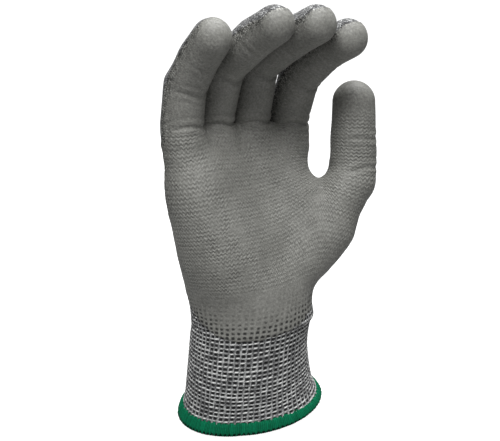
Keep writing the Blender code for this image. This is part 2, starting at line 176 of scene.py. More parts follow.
def read_digit(name):
    """Folds, tip centre and radii of one finger or the thumb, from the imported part."""
    parts = ("base", "middle", "end") if name != "thumb" else ("base", "end")
    folds = [to_hand(PIVOTS[f"{name}_{part}_fold"]) for part in parts]
    first = f"{name}_proximal_coating" if name != "thumb" else "thumb_base_coating"
    low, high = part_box(first)
    radius = (high.x - low.x) / MM / 2
    taper = 1 - (1 - TIP_TAPER) / len(folds)
    mesh = frame["nodes"][f"{name}_tip_coating"].data
    tip_points = to_hand(np.array([v.co for v in mesh.vertices]) / MM)
    away = np.linalg.norm(tip_points - folds[-1], axis=1)
    apex = tip_points[away.argmax()].copy()
    apex[0] = folds[0][0]
    along = apex - folds[-1]
    along /= np.linalg.norm(along)
    radii = [radius] + [radius * taper**i for i in range(len(folds) + 1)]
    centre = apex - along * radii[-1]
    foot = folds[0] - [0, 0, CROTCH_DROP]
    path = np.array([foot, *folds, centre])
    stops = np.concatenate([[0], np.cumsum(np.linalg.norm(np.diff(path, axis=0), axis=1))])
    bones, _, travelled = smooth_path(path, BONES, CORNER)
    widths = np.interp(travelled, stops / stops[-1] * travelled[-1], radii)
    lower = np.array(THUMB_LOWER if name == "thumb" else FINGER_LOWER)
    bones = np.vstack([foot + lower, bones])
    widths = np.concatenate([[radius - ROOT_THINNER], widths]) + PLUMP[name]
    share = np.linspace(0, 1, len(bones))[:, None]
    still = np.zeros(3)
    shift = share * TIP_SHIFT.get(name, still) + BASE_SHIFT.get(name, still)
    bones += shift + (1 - share) ** 4 * ROOT_SHIFT.get(name, still)
    shape = {"bones": bones, "widths": widths, "radii": radii, "radius": radius}
    return {"folds": folds, "path": path, **shape}


SKELETON = {name: read_digit(name) for name in DIGITS}


def smoothstep(x, low=0.0, high=1.0):
    t = np.clip((x - low) / (high - low), 0, 1)
    return t * t * (3 - 2 * t)


def bump(x, width):
    return np.exp(-((x / width) ** 2))


def bone_distance(points, start, end, start_radius, end_radius):
    start, end = np.asarray(start, float), np.asarray(end, float)
    along = end - start
    t = np.clip((points - start) @ along / (along @ along), 0, 1)
    middle = start + t[:, None] * along
    return np.linalg.norm(points - middle, axis=1) - (start_radius + t * (end_radius - start_radius))


def soft_min(a, b, reach):
    h = np.maximum(reach - np.abs(a - b), 0) / reach
    return np.minimum(a, b) - h * h * reach / 4


def palm_bones():
    """Padding of the palm: each bone's ends and radii, and the width of its blend with the rest."""
    bones = []
    for name in FINGERS:
        x, y, z = SKELETON[name]["folds"][0]
        drawn_in = METACARPAL_SHIFT.get(name, 0.0)
        bones.append(((0.55 * x, -3.2, 13.0), (x + drawn_in, y + 0.5, z - 14), 17.8, 10.6, 18.0))
    bones.append(HYPOTHENAR)
    thumb = SKELETON["thumb"]
    bones.append((THUMB_ROOT, thumb["folds"][0] + THUMB_KNUCKLE, 19.0, thumb["radius"] - 1.1, 10.0))
    bones.append((THUMB_ROOT, *THUMB_WEB))
    return bones


def palm_distance(points):
    distance = None
    for *bone, reach in palm_bones():
        d = bone_distance(points, *bone)
        distance = d if distance is None else soft_min(distance, d, reach)
    return distance


def digit_distance(points, name):
    bones, widths = SKELETON[name]["bones"], SKELETON[name]["widths"]
    distance = np.full(len(points), FAR)
    for i in range(len(bones) - 1):
        bone = bones[i], bones[i + 1], widths[i], widths[i + 1]
        distance = np.minimum(distance, bone_distance(points, *bone))
    return distance


# a point's values: how far each digit and the palm are held off it, the width of the blend between
# them, the distance inside the film's edge, and its place round the wrist and along the glove
HELD = {name: i for i, name in enumerate([*DIGITS, "palm"])}
BLEND, FILM, COS, SIN, ALONG, VALUES = 6, 7, 8, 9, 10, 11


def distance_at(points, values):
    distance = np.full(len(points), FAR)
    for name, i in HELD.items():
        near = values[:, i] < NEAR
        if not near.any():
            continue
        field = palm_distance(points[near]) if name == "palm" else digit_distance(points[near], name)
        distance[near] = soft_min(distance[near], field + values[near, i], values[near, BLEND])
    # the wrist's oval runs on into the heel of the hand
    oval = np.hypot(points[:, 0] / WRIST_RADII[0], points[:, 1] / WRIST_RADII[1])
    tube = np.hypot(points[:, 0], points[:, 1]) * (1 - 1 / np.maximum(oval, 0.1))
    hand = smoothstep(values[:, ALONG], *HEEL_RISE)
    return tube + hand * (distance - tube)


# ---- the net ----
class Net:
    """Points, their values, and four-sided faces with a place in wales and courses at each corner."""

    def __init__(self):
        self.points, self.values = [], []
        self.faces, self.places, self.labels = [], [], []

    def add(self, point, along, film, held, blend=4.0, angle=0.0):
        values = np.full(VALUES, FAR)
        if held == "all":
            values[: len(HELD)] = 0
        else:
            for name, off in held.items():
                values[HELD[name]] = off
        values[BLEND:] = blend, film, math.cos(angle), math.sin(angle), along
        self.points.append(np.array(point, float))
        self.values.append(values)
        return len(self.points) - 1

    def face(self, corners, places, label):
        self.faces.append(corners)
        self.places.append(places)
        self.labels.append(label)

    def band(self, lower, upper, first, low, high, label):
        count = len(lower)
        for i in range(count):
            j = (i + 1) % count
            u = first + i
            places = ((u, low), (u + 1, low), (u + 1, high), (u, high))
            self.face((lower[i], lower[j], upper[j], upper[i]), places, label)


def edge_distance(column, centre, reach, count, width):
    """How far inside the film a column lies, when the film spans reach columns each side of its centre."""
    off = (column - centre + count / 2) % count - count / 2
    return (reach - abs(off)) * width


def finger_film(column):
    return edge_distance(column, *FINGER_FILM)


def thumb_film(column):
    middle, reach, width = THUMB_FILM
    degrees = 180 + 360 * column / (2 * THUMB_COLUMNS) - math.degrees(THUMB_TURN)
    off = (degrees - middle + 180) % 360 - 180
    return (reach - abs(off)) * width


def add_digit(net, name, foot, first, shift, film, labels):
    """Rings from the foot up to the fingertip, and the patch that closes it."""
    digit = SKELETON[name]
    count = len(foot)
    side = count // 2
    path = digit["path"]
    length = np.linalg.norm(np.diff(path, axis=0), axis=1).sum()
    rows = round(length / ROW_STEP)
    centres, tangents, travelled = smooth_path(path, rows + 1)
    angles = math.pi * (1 + np.arange(count) * 2 / count) - shift
    start = net.values[foot[1]][ALONG]
    stops = [np.linalg.norm(np.diff(path[: i + 1], axis=0), axis=1).sum() for i in range(1, len(path))]
    cuts = [(a + b) / 2 for a, b in zip(stops[:-2], stops[1:-1])]
    below = foot
    if name in FINGERS:
        number = FINGERS.index(name)
        neighbours = {FINGERS[i]: 1.2 for i in (number - 1, number + 1) if 0 <= i < len(FINGERS)}
    else:
        neighbours = {"index": 1.5}
    radii = np.interp(travelled, [0, *stops], digit["radii"])
    for row in range(1, rows + 2):
        if row <= rows:
            centre, tangent, radius, lift = centres[row], tangents[row], radii[row], 0.0
            at = travelled[row]
        else:
            tip = digit["radii"][-1]
            centre, tangent, radius, lift = centres[-1], tangents[-1], tip * 0.8, tip * 0.6
            at = travelled[-1] + tip * 0.65
        back = np.cross(tangent, [1, 0, 0])
        held = {name: 0.0, "palm": 0.4 * at}
        held.update({other: rate * at for other, rate in neighbours.items()})
        ring = []
        for column in range(count):
            a = angles[column]
            outward = math.cos(a) * np.array([1, 0, 0]) + math.sin(a) * back
            place = centre + radius * outward + lift * tangent
            ring.append(net.add(place, start + at, film(column), held))
        label = labels[sum(at > cut for cut in cuts)]
        net.band(below, ring, first, net.values[below[1]][ALONG], start + at, label)
        below = ring
    # the patch over the tip: one row of points between the palm side and the back
    tip = digit["radii"][-1]
    top = centres[-1] + tangents[-1] * tip
    middle = [below[0]]
    for i in range(1, side - 2):
        across = (i / (side - 2) * 2 - 1) * tip * 0.6
        place = top + [across, 0, 0] - tangents[-1] * across**2 / tip / 2
        middle.append(net.add(place, start + travelled[-1] + tip * 1.3, film(side / 2), {name: 0.0}))
    middle.append(below[side])
    front = below[1:side]
    rear = below[side + 1 :][::-1]
    v = start + travelled[-1] + tip * 0.65
    for i in range(side - 2):
        u = first + 1 + i
        places = ((u, v), (u + 1, v), (u + 1, v + 4), (u, v + 4))
        net.face((front[i], front[i + 1], middle[i + 1], middle[i]), places, labels[-1])
        places = ((u, v + 4), (u + 1, v + 4), (u + 1, v + 8), (u, v + 8))
        net.face((middle[i], middle[i + 1], rear[i + 1], rear[i]), places, labels[-1])


def cuff_radii(height, cosine, sine):
    """Half breadth and half depth of the cuff; towards the thumb the flare is fuller, over a waist."""
    flare = np.maximum(0.0, 1 - height / FLARE_HEIGHT) ** 2
    rise = np.maximum(0.0, (height - FLARE_HEIGHT) / (WRIST[2] - FLARE_HEIGHT))
    thumbward = cosine * math.cos(THUMBWARD) + sine * math.sin(THUMBWARD)
    outward = 4.6 * np.maximum(0.0, 1 - height / 26) ** 2 - 2.4 * bump(height - 39, 15.0)
    extra = np.maximum(thumbward, 0) * outward
    return [tube + (hem - tube) * flare + (wrist - tube) * rise + extra
            for hem, tube, wrist in zip(HEM_RADII, CUFF_RADII, WRIST_RADII)]


def hem_lift(x, y, height):
    """How far the slanting hem draws the cuff up on the thumb's side."""
    across = x * math.cos(THUMBWARD) + y * math.sin(THUMBWARD)
    return HEM_SLANT * (across + 20.0) * (1 - smoothstep(height, 3.0, 45.0))


def cuff_points(cosine, sine, height):
    """The cuff's surface, whose top ring leans halfway to the hand."""
    size = np.hypot(cosine, sine)
    cosine, sine = cosine / size, sine / size
    a, b = cuff_radii(height, cosine, sine)
    x, y = a * cosine, b * sine
    z = height - y * math.tan(math.radians(LEAN_BACK / 2)) * smoothstep(height, 22.0, WRIST[2])
    return to_hand(np.column_stack([x, y, z + hem_lift(x, y, height)]))


def wrist_angle(column):
    if column <= HALF:
        return math.radians(180 + 120 * column / HALF)
    if column < HALF + 2 * THUMB_COLUMNS:
        return math.radians(300 + 70 * (column - HALF) / (2 * THUMB_COLUMNS))
    return math.radians(370 + 170 * (column - HALF - 2 * THUMB_COLUMNS) / HALF)


def build_net():
    net = Net()
    crotch_along = WRIST[2] + CROTCH_RISE
    thumb_along = WRIST[2] + THUMB_RISE
    # feet of the four fingers; neighbours share the point between them
    feet = []
    for number, name in enumerate(FINGERS):
        centre = SKELETON[name]["path"][0]
        radius = SKELETON[name]["radius"]
        ids = []
        for column in range(2 * COLUMNS):
            film = finger_film(column)
            angle = math.pi * (1 + column / COLUMNS)
            if column == 0 and number > 0:
                ids.append(feet[-1][COLUMNS])
            elif column == COLUMNS and number < len(FINGERS) - 1:
                middle = (centre + SKELETON[FINGERS[number + 1]]["path"][0]) / 2
                ids.append(net.add(middle, crotch_along, film, "all"))
            else:
                place = centre + radius * np.array([math.cos(angle), math.sin(angle), 0])
                ids.append(net.add(place, crotch_along, film, "all"))
        feet.append(ids)
    for number, name in enumerate(FINGERS):
        labels = (f"{name}_base", f"{name}_middle", f"{name}_end")
        add_digit(net, name, feet[number], number * COLUMNS, 0, finger_film, labels)
    top = [i for foot in feet for i in foot[:COLUMNS]] + [feet[-1][COLUMNS]]
    for foot in reversed(feet):
        top += foot[COLUMNS + 1 :] + ([foot[0]] if foot is not feet[0] else [])
    # foot of the thumb
    shift = THUMB_TURN
    centre, radius = SKELETON["thumb"]["path"][0], SKELETON["thumb"]["radius"]
    thumb = [net.add(THUMB_CROTCH, thumb_along, thumb_film(0), "all")]
    for column in range(1, 2 * THUMB_COLUMNS):
        angle = math.pi * (1 + column / THUMB_COLUMNS) - shift
        place = centre + radius * np.array([math.cos(angle), math.sin(angle), 0])
        thumb.append(net.add(place, thumb_along, thumb_film(column), "all"))
    add_digit(net, "thumb", thumb, HALF, shift, thumb_film, ("thumb_base", "thumb_end"))
    # from the crotches of the fingers down to the thumb's crotch
    above, above_along = top, crotch_along
    for row in range(1, PALM_ROWS + 1):
        share = row / PALM_ROWS
        along = crotch_along + share * (thumb_along - crotch_along)
        ring = []
        for column, start in enumerate(top):
            if row == PALM_ROWS and column == HALF:
                ring.append(thumb[0])
                continue
            place = net.points[start].copy()
            place[1] += 0 if column in (0, HALF) else (-4 if column < HALF else 4)
            angle = math.pi * (1 + 2 * column / LOOP)
            goal = np.array([2.0 + 41.5 * math.cos(angle), -5.0 + 14.0 * math.sin(angle), THUMB_CROTCH[2]])
            film = edge_distance(column, *PALM_FILM)
            ring.append(net.add(place + share * (goal - place), along, film, "all"))
        net.band(ring, above, 0, along, above_along, "palm")
        above, above_along = ring, along
    # the heel of the hand
    above = above[: HALF + 1] + thumb[1:] + above[HALF:]
    below = [cuff_points(math.cos(a), math.sin(a), WRIST[2])[0] for a in map(wrist_angle, range(RING))]
    start = [net.points[i].copy() for i in above]
    for row in range(1, HEEL_ROWS + 1):
        share = row / HEEL_ROWS
        along = thumb_along + share * (WRIST[2] - thumb_along)
        ring = []
        for column in range(RING):
            place = start[column] + share * (below[column] - start[column])
            film = edge_distance(column, *HEEL_FILM)
            ring.append(net.add(place, along, film, "all", blend=6.0, angle=wrist_angle(column)))
        label = "palm" if along > WRIST[2] + WRIST_TOP else "wrist"
        net.band(ring, above, 0, along, above_along, label)
        above, above_along = ring, along
    for row in range(1, CUFF_ROWS + 1):
        along = WRIST[2] + row / CUFF_ROWS * (HEM_EDGE - WRIST[2])
        ring = [net.add((0, 0, 0), along, edge_distance(c, *HEEL_FILM), "all", angle=wrist_angle(c))
                for c in range(RING)]
        label = "wrist" if along > WRIST_FOOT else "cuff"
        net.band(ring, above, 0, along, above_along, label)
        above, above_along = ring, along
    return net


def sum_to(count, index, amounts):
    return np.stack([np.bincount(index, amounts[:, k], count) for k in range(amounts.shape[1])], axis=1)


def vertex_normals(points, faces):
    """Unit normals, and how well the faces round each point agree on them."""
    corners = points[faces]
    across = np.cross(corners[:, 2] - corners[:, 0], corners[:, 3] - corners[:, 1])
    total = sum_to(len(points), faces.ravel(), np.repeat(across, 4, axis=0))
    area = np.bincount(faces.ravel(), np.repeat(np.linalg.norm(across, axis=1), 4), len(points))
    length = np.linalg.norm(total, axis=1)
    return total / np.maximum(length, 1e-9)[:, None], length / np.maximum(area, 1e-9)


def settle(points, values, faces, rounds, by_gradient):
    """Even out the spacing while the points stay on the hand; the cuff's points stay on the cuff."""
    count = len(points)
    cuff = values[:, ALONG] <= WRIST[2] + 0.01
    loose = ~cuff
    points[cuff] = cuff_points(values[cuff, COS], values[cuff, SIN], values[cuff, ALONG])
    pairs = np.unique(np.sort(np.stack([faces, np.roll(faces, -1, 1)], -1).reshape(-1, 2), 1), axis=0)
    one, other = pairs[:, 0], pairs[:, 1]
    degree = np.bincount(pairs.ravel(), minlength=count)[:, None]
    for _ in range(rounds):
        total = sum_to(count, one, points[other]) + sum_to(count, other, points[one])
        moved = points + 0.5 * (total / degree - points)
        normals, agreement = vertex_normals(moved, faces)
        here, of = moved[loose], values[loose]
        distance = distance_at(here, of)
        if by_gradient:
            step = 0.05
            slopes = [distance_at(here + step * axis, of) - distance for axis in np.eye(3)]
            away = np.stack(slopes, axis=1) / step
            away /= np.maximum(np.linalg.norm(away, axis=1, keepdims=True), 0.3)
        else:
            away = normals[loose]
        sure = smoothstep(agreement[loose], 0.4, 0.8)
        points[loose] = here - away * (np.clip(distance, -3, 3) * sure)[:, None]
    return points


def divide(points, values, faces, places, labels):
    edges = np.sort(np.stack([faces, np.roll(faces, -1, 1)], -1).reshape(-1, 2), 1)
    unique, inverse = np.unique(edges, axis=0, return_inverse=True)
    count = len(points)
    side = inverse.reshape(-1, 4) + count
    centre = np.arange(len(faces)) + count + len(unique)

    def refined(a):
        return np.concatenate([a, a[unique].mean(1), a[faces].mean(1)])

    new_faces, new_places = [], []
    half = (places + np.roll(places, -1, 1)) / 2
    for i in range(4):
        new_faces.append(np.stack([faces[:, i], side[:, i], centre, side[:, i - 1]], axis=1))
        new_places.append(np.stack([places[:, i], half[:, i], places.mean(1), half[:, i - 1]], axis=1))
    return (refined(points), refined(values), np.concatenate(new_faces), np.concatenate(new_places),
            np.tile(labels, 4))


def make_skin():
    net = build_net()
    points, values = np.array(net.points), np.array(net.values)
    faces, places, labels = np.array(net.faces), np.array(net.places, float), np.array(net.labels)
    points = settle(points, values, faces, FIRST_ROUNDS, True)
    for rounds, by_gradient in ROUNDS[:DIVISIONS]:
        points, values, faces, places, labels = divide(points, values, faces, places, labels)
        points = settle(points, values, faces, rounds, by_gradient)
    return points, values, faces, places, labels


# ---- relief ----
def hashed(a, b, salt=0.0):
    """A repeatable number from 0 to 1 for each pair of whole numbers."""
    wave = np.sin(a * 12.9898 + b * 78.233 + salt * 37.719) * 43758.5453
    return wave - np.floor(wave)


def undulation(points, scale, offset=0.0):
    """Smooth noise at each point, about -1 to 1, whose waves are scale millimetres long."""
    return np.array([noise.noise(Vector(p)) for p in points / scale + offset])


def rib_stitches(angle, along):
    """Relief, tone and depth of the cuff's stitches: a pit over a light head, between strands. The tone is
    the marl's, with painted shade in each pit and a painted highlight on each head.
    """
    across = angle / (2 * math.pi) * CELLS_AROUND
    up = along / CELL_HEIGHT
    column, row = np.floor(across) % CELLS_AROUND, np.floor(up)
    x = across - np.floor(across) - 0.5 + 0.16 * (hashed(column, row) - 0.5)
    y = up - row - 0.5 + 0.2 * (hashed(column, row, 1) - 0.5)
    strong = 0.7 + 0.5 * hashed(column, row, 2)
    pit = np.exp(-((x / 0.27) ** 4) - ((y - 0.14 + 0.1 * x) / 0.25) ** 4) * strong
    head = bump(y + 0.3 - 0.3 * x, 0.2) * bump(x, 0.34) * strong
    strand = bump(np.abs(x) - 0.5, 0.16)
    relief = 0.28 * head + 0.16 * strand - 0.6 * pit
    marl = hashed(column, row, 3)
    pale = strand * (0.55 * hashed(column, row, 4) - 0.2)
    # the marl yarn's tone, plus a painted highlight on each head and painted shade darkening each pit
    lightness = 0.43 + head * (0.25 + 0.85 * marl) + pale - 1.5 * pit
    return relief, lightness, pit


def fold_relief(points, normals):
    """Creases on the inside of each fold and a rounder knuckle on its back."""
    relief = np.zeros(len(points))
    for name in DIGITS:
        digit = SKELETON[name]
        path, folds = digit["path"], digit["folds"]
        for number, fold in enumerate(folds):
            before = path[number + 1] - path[number]
            after = path[number + 2] - path[number + 1]
            along = before / np.linalg.norm(before) + after / np.linalg.norm(after)
            along /= np.linalg.norm(along)
            back = np.cross(along, [1, 0, 0])
            offset = points - fold
            near = np.linalg.norm(offset, axis=1) < digit["radius"] * 1.9
            near &= np.abs(offset[:, 0]) < digit["radius"] * 1.05
            s = offset[near] @ along
            side = normals[near] @ back
            inner = smoothstep(-side, 0.1, 0.9)
            outer = smoothstep(side, 0.2, 0.95)
            s = s + 0.8 * np.sin(offset[near][:, 0] * 0.35 + number)
            depth = (0.95, 0.8, 0.5)[number] if name != "thumb" else (0.5, 0.45)[number]
            depth *= 0.5 if name == "little" else 1.0
            crease = -depth * bump(s, 0.9) + 0.35 * depth * bump(np.abs(s) - 2.4, 1.3)
            crease -= 0.35 * depth * bump(s - 4.6, 0.8) + 0.3 * depth * bump(s + 4.4, 0.8)
            knuckle = (0.0, 0.7, 0.25)[number] if name != "thumb" else (0.3, 0.3)[number]
            relief[near] += crease * inner + knuckle * bump(s, 5.0) * outer
    return relief


def weave_relief(u, along):
    """Fine zigzag courses that show through the film."""
    return np.sin(2 * math.pi * (along / RIPPLE + 0.22 * np.sin(4 * math.pi * u)))


def film_inset(points, values):
    """Millimetres inside the film's edge, which dips at the front of the wrist."""
    angle = np.degrees(np.arctan2(values[:, SIN], values[:, COS])) % 360
    off = (angle - 226 + 180) % 360 - 180
    edge = 50.5 + np.where(off < 0, 34.0, 10.0) * (np.abs(off) / 90) ** 2.2
    rise = values[:, ALONG] - edge
    heel = values[:, ALONG] < WRIST[2] + 60
    inset = np.where(heel, np.minimum(values[:, FILM], rise), values[:, FILM])
    wander = undulation(points, 4.0, 7.0) * 0.9 + undulation(points, 1.5, 3.0) * 0.5
    return inset + wander


def surface_layers(points, values, faces, places):
    """The knit's and the film's outer faces, with what their materials read at each point."""
    normals, _ = vertex_normals(points, faces)
    u = np.zeros(len(points))
    u[faces.ravel()] = places[..., 0].ravel()
    along = values[:, ALONG]
    angle = np.arctan2(values[:, SIN], values[:, COS])
    inset = film_inset(points, values)
    ribbed = 1 - smoothstep(along, RIB_TOP - 4, RIB_TOP + 6)
    around = along < RIB_TOP + 8
    relief, lightness, pit = np.zeros(len(points)), np.full(len(points), 0.4), np.zeros(len(points))
    relief[around], lightness[around], pit[around] = rib_stitches(angle[around], along[around])
    relief, pit = relief * ribbed, pit * ribbed
    lightness = 0.4 + (lightness - 0.4) * ribbed
    waves = undulation(points, 16.0) * 0.45 + undulation(points, 6.0, 5.0) * 0.14
    calm = smoothstep(along, 20, 70) * (1 - 0.7 * smoothstep(along, WRIST[2] + 92, WRIST[2] + 106))
    shape = fold_relief(points, normals) + waves * calm
    knit = shape + relief - 0.1
    shows = np.exp(-np.maximum(inset, 0) / 6.0)
    crotch = WRIST[2] + CROTCH_RISE
    fingers = smoothstep(along, crotch - 4, crotch + 12)
    wavy = (1 - ribbed) * (1 - 0.8 * fingers) * (0.7 + 0.6 * undulation(points, 5.0, 21.0))
    ripples = weave_relief(u, along) * 0.07 * wavy
    lift = 0.28 * smoothstep(inset, -0.4, 0.9) - 0.3 * (1 - smoothstep(inset, -0.6, 0.3))
    film = shape + relief * (0.18 + 0.4 * shows) + ripples + lift
    layers = {"knit": points + normals * knit[:, None], "film": points + normals * film[:, None]}
    mottle = undulation(points, 22.0, 11.0) + 0.5 * undulation(points, 7.0, 13.0)
    facts = {"lightness": lightness, "pit": pit, "inset": inset, "ribbed": ribbed}
    facts.update({"mottle": mottle, "wavy": wavy})
    return layers, facts, inset


# ---- pieces ----
def make_mesh(name, points, normals, faces, places, facts, surface):
    """A mesh of some faces, shaded by the whole surface's normals, so that neighbours meet unseen."""
    used, local = np.unique(faces, return_inverse=True)
    corners = local.reshape(-1).astype(np.int32)
    mesh = bpy.data.meshes.new(name)
    mesh.vertices.add(len(used))
    mesh.vertices.foreach_set("co", (to_world(points[used]) * MM).astype(np.float32).ravel())
    mesh.loops.add(len(corners))
    mesh.loops.foreach_set("vertex_index", corners)
    mesh.polygons.add(len(faces))
    mesh.polygons.foreach_set("loop_start", np.arange(len(faces), dtype=np.int32) * 4)
    mesh.update()
    layer = mesh.uv_layers.new(name="wales")
    layer.data.foreach_set("uv", places.astype(np.float32).ravel())
    for fact, amounts in facts.items():
        attribute = mesh.attributes.new(fact, "FLOAT", "POINT")
        attribute.data.foreach_set("value", amounts[used].astype(np.float32))
    rest = mesh.attributes.new("rest", "FLOAT_VECTOR", "POINT")
    rest.data.foreach_set("vector", points[used].astype(np.float32).ravel())
    mesh.shade_smooth()
    mesh.normals_split_custom_set_from_vertices((normals[used] @ HAND.T).tolist())
    mesh.materials.append(surface)
    piece = bpy.data.objects.new(name, mesh)
    bpy.context.scene.collection.objects.link(piece)
    return piece


def bend_piece(piece, points, upper, fold, before, after, reach):
    """Work out where a blend across the piece's fold would end, short of the rows it shares with neighbours;
    only its transform is baked into the mesh, and the piece is not bent or given to a body.
    """
    along = before / np.linalg.norm(before) + after / np.linalg.norm(after)
    along /= np.linalg.norm(along)
    centre = fold @ along
    end = centre + reach
    if len(upper):
        end = min(end, (points[upper] @ along).min() - BEND_MARGIN)
    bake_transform(piece)


def bend_chain():
    """For each section across a fold: its neighbours, the bodies it joins, its fold and the ways past it."""
    up = np.array([0.0, 0.0, 1.0])
    chain = {"wrist": ("cuff", "palm", ("cuff", "hand"), np.zeros(3), HAND[2], up)}
    for name in DIGITS:
        parts = ("base", "middle", "end") if name in FINGERS else ("base", "end")
        segments = ("proximal", "middle", "tip") if name in FINGERS else ("base", "tip")
        sections = ("palm", *(f"{name}_{part}" for part in parts), None)
        bodies = ("hand", *(f"{name}_{segment}" for segment in segments))
        path = SKELETON[name]["path"]
        for i in range(len(parts)):
            before, fold, after = path[i : i + 3]
            ways = fold - before, after - fold
            chain[sections[i + 1]] = (sections[i], sections[i + 2], bodies[i : i + 2], fold, *ways)
    return chain


def skin_pieces(skin, materials):
    points, values, faces, places, labels = skin
    layers, facts, inset = surface_layers(points, values, faces, places)
    shown = {"film": inset[faces].max(axis=1) > -0.7, "knit": inset[faces].min(axis=1) < 2.5}
    chain = bend_chain()
    corners = {label: np.unique(faces[labels == label]) for label in np.unique(labels)}
    for layer, shell in layers.items():
        normals, _ = vertex_normals(shell, faces)
        fabric = "coating" if layer == "film" else "knit"
        for label in corners:
            chosen = (labels == label) & shown[layer]
            if not chosen.any():
                continue
            part = faces[chosen], places[chosen]
            piece = make_mesh(f"{layer}_{label}", shell, normals, *part, facts, materials[layer])
            if label in chain:
                below, above, bodies, fold, before, after = chain[label]
                upper = np.intersect1d(corners[label], corners[above]) if above else []
                reach = WRIST_REACH if label == "wrist" else BEND_REACH
                bend_piece(piece, points, upper, fold, before, after, reach)
                node = f"{bodies[1]}_{fabric}"
            else:
                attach(piece, "hand" if label == "palm" else "cuff")
                node = f"{label}_{fabric}"
            if node in frame["nodes"]:
                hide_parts(node)


# ---- hem ----
# the section: outward from the cuff's surface, and height
HEM_PROFILE = ((0.1, 6.3), (0.5, 6.1), (0.8, 5.2), (0.95, 3.8), (0.9, 2.2), (0.65, 0.9), (0.1, 0.2),
               (-0.9, 0.0), (-1.9, 0.2), (-2.6, 0.9), (-2.9, 2.4), (-2.9, 4.4), (-2.6, 5.8), (-1.9, 6.2))
HEM_RIBS = 232  # turns of the wrapped thread
RIB_POINTS = 6
DOTS = 94  # needle holes along the foot, dented and darkened with painted shade


def make_hem(surface):
    """The overlocked edge: threads wrapped over the knit's lower edge."""
    profile = np.array(HEM_PROFILE)
    closed = np.vstack([profile, profile[:1]])
    steps = np.linspace(0, len(profile), 3 * len(profile), endpoint=False)
    base = np.stack([np.interp(steps, np.arange(len(closed)), closed[:, k]) for k in range(2)], axis=1)
    base = (np.roll(base, 1, 0) + 2 * base + np.roll(base, -1, 0)) / 4
    count = HEM_RIBS * RIB_POINTS
    turn = np.arange(count) / count
    offset, height = (np.repeat(base[:, k : k + 1], count, axis=1) for k in range(2))
    outside = smoothstep(offset, -1.0, 0.3)
    slant = height * 0.012
    phase = (turn[None, :] + slant / 24) * HEM_RIBS
    rib = np.sqrt(np.abs(np.sin(math.pi * phase)) + 1e-3)
    thread = np.floor(phase)
    tall = smoothstep(height, 4.6, 6.2)
    height = height + tall * (0.9 * hashed(thread, 0 * thread) - 0.5)
    hole = bump(turn * DOTS - np.floor(turn * DOTS) - 0.5, 0.26)[None, :]
    dots = hole * bump(height - 1.0, 0.55) * outside
    offset = offset + (0.3 * rib - 0.15) * (0.4 + 0.6 * outside) - 0.5 * dots
    offset = offset + 0.2 * (hashed(thread, 0 * thread, 5) - 0.5)
    angle = 2 * math.pi * turn[None, :]
    height = np.maximum(height, 0.0) * (1 - 0.4 * np.maximum(np.cos(angle - THUMBWARD), 0) ** 3)
    a, b = cuff_radii(height, np.cos(angle), np.sin(angle))
    x, y = (a + offset) * np.cos(angle), (b + offset) * np.sin(angle)
    points = np.stack([x, y, height + hem_lift(x, y, height)], axis=-1)
    rows = len(base)
    lower = np.arange(rows)[:, None] * count
    upper = (np.arange(rows)[:, None] + 1) % rows * count
    here, ahead = np.arange(count)[None, :], (np.arange(count)[None, :] + 1) % count
    faces = np.stack([lower + here, upper + here, upper + ahead, lower + ahead], axis=-1).reshape(-1, 4)
    flat = to_hand(points.reshape(-1, 3))
    normals, _ = vertex_normals(flat, faces)
    places = np.zeros((len(faces), 4, 2))
    facts = {"dots": dots.ravel(), "rib": rib.ravel(), "thread": hashed(thread, 0 * thread, 9).ravel()}
    hem = make_mesh("hem_thread", flat, normals, faces, places, facts, surface)
    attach(hem, "cuff")
    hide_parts("hem_overlock")


def make_elastic(surface):
    """Elastic yarn wound against the inside of the cuff."""
    turns, steps, sides, radius, inside = 5, 120, 8, 0.4, 2.3
    count = turns * steps
    turn = np.arange(count + 1) / steps * 2 * math.pi
    height = 12 + 24 * np.arange(count + 1) / count
    around = np.arange(sides) * 2 * math.pi / sides
    thick = radius * (1 + 0.12 * np.sin(around[None, :] * 2 + turn[:, None] * 60))
    offset = thick * np.cos(around) - inside
    up = height[:, None] + thick * np.sin(around)
    cosine, sine = np.cos(turn)[:, None], np.sin(turn)[:, None]
    a, b = cuff_radii(height[:, None], cosine, sine)
    x, y = (a + offset) * cosine, (b + offset) * sine
    points = to_hand(np.stack([x, y, up + hem_lift(x, y, up)], axis=-1).reshape(-1, 3))
    here, ahead = np.arange(sides), (np.arange(sides) + 1) % sides
    rows = np.arange(count)[:, None] * sides
    beyond = rows + sides
    faces = np.stack([rows + here, beyond + here, beyond + ahead, rows + ahead], axis=-1).reshape(-1, 4)
    normals, _ = vertex_normals(points, faces)
    yarn = make_mesh("elastic_yarn", points, normals, faces, np.zeros((len(faces), 4, 2)), {}, surface)
    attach(yarn, "cuff")
    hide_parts("cuff_elastic")


# ---- materials ----
FILM_TONES = ((0.0, (0.02, 0.02, 0.019)), (0.3, (0.118, 0.118, 0.108)),
              (0.6, (0.198, 0.198, 0.183)), (1.0, (0.34, 0.34, 0.32)))
KNIT_TONES = ((0.0, (0.008, 0.008, 0.009)), (0.3, (0.07, 0.071, 0.073)),
              (0.55, (0.20, 0.203, 0.205)), (0.95, (0.72, 0.73, 0.72)))
HEM_TONES = ((0.0, (0.0, 0.012, 0.006)), (0.45, (0.0, 0.10, 0.045)), (1.0, (0.0, 0.19, 0.085)))


